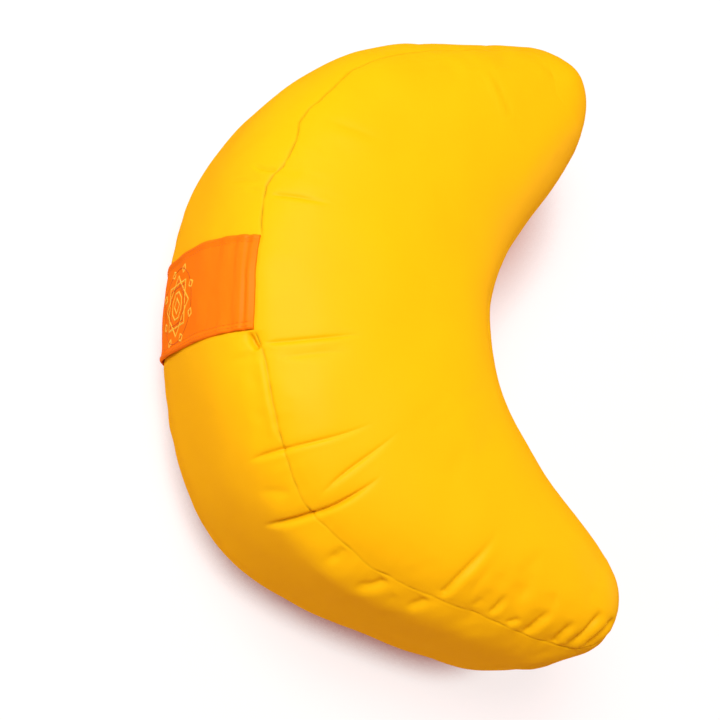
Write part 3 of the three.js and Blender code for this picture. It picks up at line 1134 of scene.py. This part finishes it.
CUSHION_COLOUR = (0.94, 0.55, 0.002)
CUSHION_SHADE = (0.92, 0.52, 0.002)
BAND_COLOUR = (0.96, 0.24, 0.003)
BAND_SHADE = (0.92, 0.207, 0.002)
STAR_COLOUR = (1.0, 0.66, 0.06)
RING_COLOUR = (0.78, 0.15, 0.002)
HEM_THREAD_COLOUR = (0.9, 0.2, 0.003)
THREAD_PITCH = 0.00042
BAND_THREAD_PITCH = 0.000504
CUSHION_RELIEF = 0.00005
BAND_RELIEF = 0.00006
THREAD_WAYS = [(2200, 60, 1), (60, 2200, 1)]
THREAD_TONE = 0.7
THREAD_RELIEF = 0.8
WEAVE_STRENGTH = 0.35
CLOUD_SCALE = 28
CLOUD_TONE = 0.5
TONE_RANGE = (0.35, 0.85)
FIBRE_SCALE = 900
FIBRE_RANGE = (0.3, 0.7)
FIBRE_SHADE = 0.8
TWIST_SCALE = 5000
TWIST_STRENGTH = 0.3
THREAD_LUSTRE = 0.08
THREAD_ROUGHNESS = 0.5
# How much the painted shade in seams and folds darkens the cloth's shade colour, per channel.
PAINTED_CREASE_SHADE = (0.58, 0.66, 0.66)
CLOTH_SHEEN = 0.046
SHEEN_IOR = 2.4
SHEEN_ROUGHNESS = 0.5
SHADOW_SAMPLES = 16


class Nodes:
    """A material's or world's node tree, with short calls to add nodes and links."""

    def __init__(self, owner):
        self.tree = owner.node_tree
        self.tree.nodes.clear()
        ending = "World" if isinstance(owner, bpy.types.World) else "Material"
        self.output = self.add(f"ShaderNodeOutput{ending}")

    def add(self, kind, inputs=(), **settings):
        """A new node with these settings, and these inputs by their name or number."""
        node = self.tree.nodes.new(kind)
        for name, value in settings.items():
            setattr(node, name, value)
        for name, value in dict(inputs).items():
            self.feed(node.inputs[name], value)
        return node

    def feed(self, socket, value):
        """Gives a socket a plain value, or links it to another node's output."""
        if isinstance(value, bpy.types.NodeSocket):
            self.tree.links.new(value, socket)
        elif socket.type == "RGBA":
            socket.default_value = (*value, 1)
        else:
            socket.default_value = value

    def finish(self, shader):
        self.feed(self.output.inputs["Surface"], shader.outputs[0])

    def math(self, operation, first, second):
        return self.add("ShaderNodeMath", {0: first, 1: second}, operation=operation).outputs[0]

    def place(self):
        return self.add("ShaderNodeTexCoord").outputs["Object"]

    def noise(self, scale, vector, detail=2.0):
        inputs = {"Scale": scale, "Detail": detail, "Vector": vector}
        return self.add("ShaderNodeTexNoise", inputs).outputs["Fac"]

    def wave(self, direction, pitch, vector):
        inputs = {"Scale": 2 * math.pi / (20 * pitch), "Vector": vector}
        node = self.add("ShaderNodeTexWave", inputs, wave_type="BANDS", bands_direction=direction)
        return node.outputs["Fac"]

    def stretched(self, vector, scale):
        inputs = {"Vector": vector, "Scale": scale}
        return self.add("ShaderNodeMapping", inputs).outputs["Vector"]

    def bump(self, height, strength, distance):
        inputs = {"Strength": strength, "Distance": distance, "Height": height}
        return self.add("ShaderNodeBump", inputs).outputs["Normal"]

    def mix(self, factor, first, second):
        """A colour between two others."""
        node = self.add("ShaderNodeMix", {"Factor": factor}, data_type="RGBA")
        colours = [socket for socket in node.inputs if socket.type == "RGBA"]
        for socket, value in zip(colours, (first, second)):
            self.feed(socket, value)
        return next(socket for socket in node.outputs if socket.type == "RGBA")

    def mix_shaders(self, factor, first, second):
        return self.add("ShaderNodeMixShader", {0: factor, 1: first.outputs[0], 2: second.outputs[0]})

    def between(self, factor, first, second):
        """A number that goes from the first to the second as the factor goes from 0 to 1."""
        return self.math("ADD", self.math("MULTIPLY", factor, second - first), first)

    def openness(self, reach, way, limits):
        """How much of the way towards the light is free within a reach, from 0 to 1."""
        normal = self.add("ShaderNodeCombineXYZ", enumerate(way)).outputs[0]
        inputs = {"Distance": reach, "Normal": normal}
        node = self.add("ShaderNodeAmbientOcclusion", inputs, samples=SHADOW_SAMPLES)
        return self.ramp(node.outputs["AO"], *limits)

    def ramp(self, factor, low, high):
        inputs = {"Value": factor, "From Min": low, "From Max": high}
        return self.add("ShaderNodeMapRange", inputs).outputs["Result"]


def new_material(name):
    material = bpy.data.materials.new(name)
    material.use_nodes = True
    return material, Nodes(material)


def woven(name, colour, shade, pitch, relief):
    """Plain-woven cotton: two tones, uneven threads both ways, painted shade in the seam and folds
    where the mesh carries it, and the weave as fine relief.
    """
    material, nodes = new_material(name)
    pattern = nodes.add("ShaderNodeUVMap", uv_map="pattern").outputs["UV"]
    warp, weft = (nodes.noise(1.0, nodes.stretched(pattern, way)) for way in THREAD_WAYS)
    threads = nodes.math("MULTIPLY", nodes.math("ADD", warp, weft), 0.5)
    cloudy = nodes.math("MULTIPLY", nodes.noise(CLOUD_SCALE, nodes.place(), 3), CLOUD_TONE)
    blend = nodes.math("ADD", nodes.math("MULTIPLY", threads, THREAD_TONE), cloudy)
    plain = nodes.mix(nodes.ramp(blend, *TONE_RANGE), colour, shade)
    # Painted shade: where the point attribute is set, in the seam and the folds, the colour goes
    # darker.
    tuck = nodes.add("ShaderNodeAttribute", attribute_name="tuck").outputs["Fac"]
    tone = nodes.mix(tuck, plain, tuple(part * share for part, share in zip(shade, PAINTED_CREASE_SHADE)))
    weave = nodes.math("MULTIPLY", nodes.wave("X", pitch, pattern), nodes.wave("Y", pitch, pattern))
    height = nodes.math("ADD", weave, nodes.math("MULTIPLY", threads, THREAD_RELIEF))
    normal = nodes.bump(height, WEAVE_STRENGTH, relief)
    inputs = {
        "Base Color": tone, "Roughness": 1.0, "Specular IOR Level": 0.0, "Normal": normal,
        "Coat Weight": CLOTH_SHEEN, "Coat Roughness": SHEEN_ROUGHNESS, "Coat IOR": SHEEN_IOR,
        "Coat Normal": normal,
    }
    nodes.finish(nodes.add("ShaderNodeBsdfPrincipled", inputs))
    return material


def cushion_cloth():
    return woven("cushion_cotton", CUSHION_COLOUR, CUSHION_SHADE, THREAD_PITCH, CUSHION_RELIEF)


def band_cloth():
    return woven("band_cotton", BAND_COLOUR, BAND_SHADE, BAND_THREAD_PITCH, BAND_RELIEF)


def thread_material(name, colour):
    """Twisted embroidery thread with a soft lustre."""
    material, nodes = new_material(name)
    place = nodes.place()
    cloudy = nodes.ramp(nodes.noise(FIBRE_SCALE, place), *FIBRE_RANGE)
    darker = tuple(FIBRE_SHADE * part for part in colour)
    inputs = {
        "Base Color": nodes.mix(cloudy, colour, darker), "Roughness": THREAD_ROUGHNESS,
        "Specular IOR Level": THREAD_LUSTRE,
        "Normal": nodes.bump(nodes.noise(TWIST_SCALE, place, 1), TWIST_STRENGTH, CUSHION_RELIEF),
    }
    nodes.finish(nodes.add("ShaderNodeBsdfPrincipled", inputs))
    return material


# ---- floor, light and camera

FLOOR_SIZE = 6
FLOOR_COLOUR = (0.8, 0.71, 0.71)
FLOOR_WEAR = 0.98
WEAR_SCALE = 3
FLOOR_GLOW = 1.25
FLOOR_GLOW_SHARE = 0.6
FADE_REACH = (0.3, 0.75)
# Painted shadow: the floor's glow takes this tint where the object blocks SHADOW_WAY within
# SHADOW_REACH.
SHADOW_TINT = (0.2, 0.0, 0.0)
SHADOW_REACH = 0.036
SHADOW_RANGE = (0.28, 0.56)
SHADOW_SOFTNESS = 0.5
SHADOW_WAY = (-0.75, 0.0, 0.6)
# The painted long shadow in the bay under the -X horn, and where it fades out along X and Y.
BAY_TINT = (0.54, 0.24, 0.2)
BAY_REACH = 0.085
BAY_RANGE = (0.5, 0.85)
BAY_WAY = (-0.5, -0.5, 0.7)
BAY_STRENGTH = 1.5
BAY_FADE_X = (0.005, -0.187)
BAY_FADE_Y = (-0.02, 0.06)
WHITE = (1.0, 1.0, 1.0)
WORLD_COLOUR = (1.0, 0.52, 0.44)
WORLD_STRENGTH = 0.48
LAMP_DISTANCE = 1.7
# Soft lamps as (name, azimuth, elevation, size, power).
LAMPS = [("key", 330, 65, 1.0, 27), ("bay_card", 182, 12, 0.6, 4.5), ("back_card", 338, 8, 0.6, 1.5)]

# Azimuth, elevation and roll.
CAMERA_TURN = (28.8, 60.06, 66.6)
CAMERA_DISTANCE = 0.8936
CAMERA_LENS = 68.49
CAMERA_SENSOR = 36
CAMERA_AIM = (0.025, -0.0208, -0.0037)


def box_middle():
    low, high = CAD_BOX
    return (low + high) / 2


def aimed(azimuth, elevation, roll, distance, aim):
    """The place and turn of a camera or lamp that faces an aim. Its azimuth is from -Y to +X."""
    turn = Matrix.Rotation(math.radians(azimuth), 4, "Z")
    turn @= Matrix.Rotation(math.radians(90 - elevation), 4, "X")
    turn @= Matrix.Rotation(math.radians(roll), 4, "Z")
    return Matrix.Translation(aim) @ turn @ Matrix.Translation((0, 0, distance))


def add_camera():
    data = bpy.data.cameras.new("camera")
    data.lens = CAMERA_LENS
    data.sensor_width = CAMERA_SENSOR
    camera = placed("camera", data)
    camera.matrix_world = aimed(*CAMERA_TURN, CAMERA_DISTANCE, box_middle() + Vector(CAMERA_AIM))
    bpy.context.scene.camera = camera


def add_lamp(name, azimuth, elevation, size, power):
    """A soft round lamp that faces the object."""
    data = bpy.data.lights.new(name, "AREA")
    data.shape = "DISK"
    data.size = size
    data.energy = power
    placed(name, data).matrix_world = aimed(azimuth, elevation, 0, LAMP_DISTANCE, box_middle())


def seen_directly(nodes):
    """1 for rays from the camera, and for what metal and glass show."""
    path = nodes.add("ShaderNodeLightPath").outputs
    mirrored = nodes.math("MAXIMUM", path["Is Glossy Ray"], path["Is Transmission Ray"])
    return nodes.math("MAXIMUM", path["Is Camera Ray"], mirrored)


def bay_shadow(nodes, place):
    """How deep the painted long shadow is in the bay under the -X horn."""
    parts = nodes.add("ShaderNodeSeparateXYZ", {0: place}).outputs
    shade = nodes.math("SUBTRACT", 1.0, nodes.openness(BAY_REACH, BAY_WAY, BAY_RANGE))
    for part, limits in ((parts["X"], BAY_FADE_X), (parts["Y"], BAY_FADE_Y)):
        shade = nodes.math("MULTIPLY", shade, nodes.ramp(part, *limits))
    return nodes.math("MULTIPLY", shade, BAY_STRENGTH)


def floor_material():
    """Pale matt floor that fades to the white background. Its shadow by the object is partly real, from
    the lamps on its matt part, and partly painted into its glow.
    """
    material, nodes = new_material("floor")
    place = nodes.place()
    worn = tuple(FLOOR_WEAR * part for part in FLOOR_COLOUR)
    colour = nodes.mix(nodes.noise(WEAR_SCALE, place), FLOOR_COLOUR, worn)
    matt = nodes.add("ShaderNodeBsdfDiffuse", {"Color": colour})
    distance = nodes.add("ShaderNodeVectorMath", {0: place}, operation="LENGTH").outputs["Value"]
    far = nodes.ramp(distance, *FADE_REACH)
    # Painted shadow in the glow's colour: a near one from ambient occlusion towards SHADOW_WAY, and the
    # long one in the bay.
    near = nodes.openness(SHADOW_REACH, SHADOW_WAY, SHADOW_RANGE)
    open_share = nodes.math("POWER", near, SHADOW_SOFTNESS)
    bay = nodes.mix(bay_shadow(nodes, place), WHITE, BAY_TINT)
    glow = nodes.add("ShaderNodeEmission", {
        "Color": nodes.mix(open_share, SHADOW_TINT, bay),
        "Strength": nodes.between(far, FLOOR_GLOW, 1.0),
    })
    share = nodes.math("MULTIPLY", seen_directly(nodes), nodes.between(far, FLOOR_GLOW_SHARE, 1.0))
    nodes.finish(nodes.mix_shaders(share, matt, glow))
    return material


def add_floor():
    half = FLOOR_SIZE / 2 / MM
    corners = [(-half, -half, 0), (half, -half, 0), (half, half, 0), (-half, half, 0)]
    floor = mesh_object("floor", np.array(corners), [[0, 1, 2, 3]])
    floor.location.z = CAD_BOX[0].z
    floor.data.materials.append(floor_material())


def set_world():
    """Soft even light before a background that is seen as white."""
    world = bpy.data.worlds.new("world")
    world.use_nodes = True
    nodes = Nodes(world)
    soft = nodes.add("ShaderNodeBackground", {"Color": WORLD_COLOUR, "Strength": WORLD_STRENGTH})
    white = nodes.add("ShaderNodeBackground", {"Color": WHITE})
    nodes.finish(nodes.mix_shaders(seen_directly(nodes), soft, white))
    bpy.context.scene.world = world


def build():
    bpy.context.scene.view_settings.view_transform = "Standard"
    shape = make_shape()
    apply_cloth(shape)
    dress(shape)
    make_cushion(shape)
    form = make_band_form(shape)
    band = make_band(form)
    threads = [make_hem_stitches(form), *make_embroidery(form)]
    add_floor()
    set_world()
    for lamp in LAMPS:
        add_lamp(*lamp)
    add_camera()


build()
